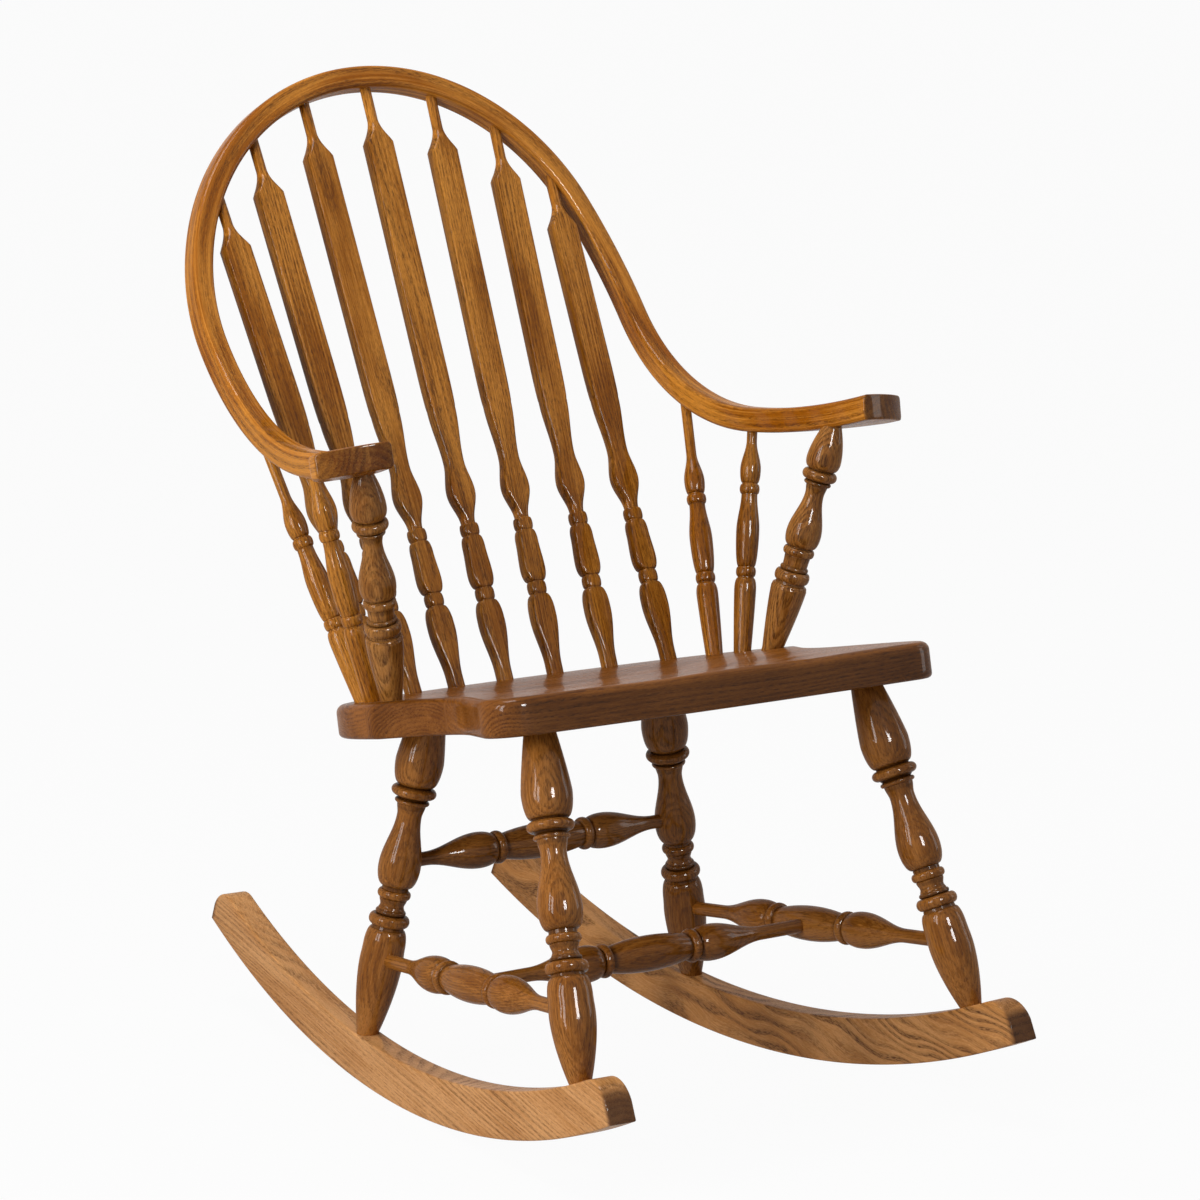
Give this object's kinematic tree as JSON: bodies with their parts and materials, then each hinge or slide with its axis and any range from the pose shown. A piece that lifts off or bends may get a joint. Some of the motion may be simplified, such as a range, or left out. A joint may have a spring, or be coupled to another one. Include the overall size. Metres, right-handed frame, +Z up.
{
  "type": "arrow back rocking chair",
  "caption": "Solid oak rocking chair: saddle seat on splayed turned legs and curved rockers, with flat arrow spindles under a bent bow that sweeps forward into the arms.",
  "frame": {"origin": "on the floor, at the middle of the bounding box, which is the line where both rockers touch the floor at rest", "axes": "+Z up, the sitter faces -Y, +X towards the sitter's left arm"},
  "size_m": [0.7084, 0.8685, 1.0178],
  "materials": {
    "seat_oak": "stained oak under glossy lacquer",
    "rocker_oak": "stained oak under glossy lacquer",
    "bow_oak": "stained oak under glossy lacquer",
    "spindle_oak": "stained oak under glossy lacquer",
    "turned_oak": "stained oak under glossy lacquer"
  },
  "bodies": {
    "root": {"seat": "seat_oak", "bow": "bow_oak", "arm_pad_left": "bow_oak", "arm_pad_right": "bow_oak", "rocker_left": "rocker_oak", "rocker_right": "rocker_oak", "front_leg_left": "turned_oak", "front_leg_right": "turned_oak", "rear_leg_left": "turned_oak", "rear_leg_right": "turned_oak", "side_stretcher_left": "turned_oak", "side_stretcher_right": "turned_oak", "cross_stretcher": "turned_oak", "rear_stretcher": "turned_oak", "arm_post_left": "turned_oak", "arm_post_right": "turned_oak", "front_arm_spindle_left": "spindle_oak", "front_arm_spindle_right": "spindle_oak", "rear_arm_spindle_left": "spindle_oak", "rear_arm_spindle_right": "spindle_oak", "arrow_spindle_1": "spindle_oak", "arrow_spindle_2": "spindle_oak", "arrow_spindle_3": "spindle_oak", "arrow_spindle_4": "spindle_oak", "arrow_spindle_5": "spindle_oak", "arrow_spindle_6": "spindle_oak", "arrow_spindle_7": "spindle_oak"}
  },
  "joints": []
}
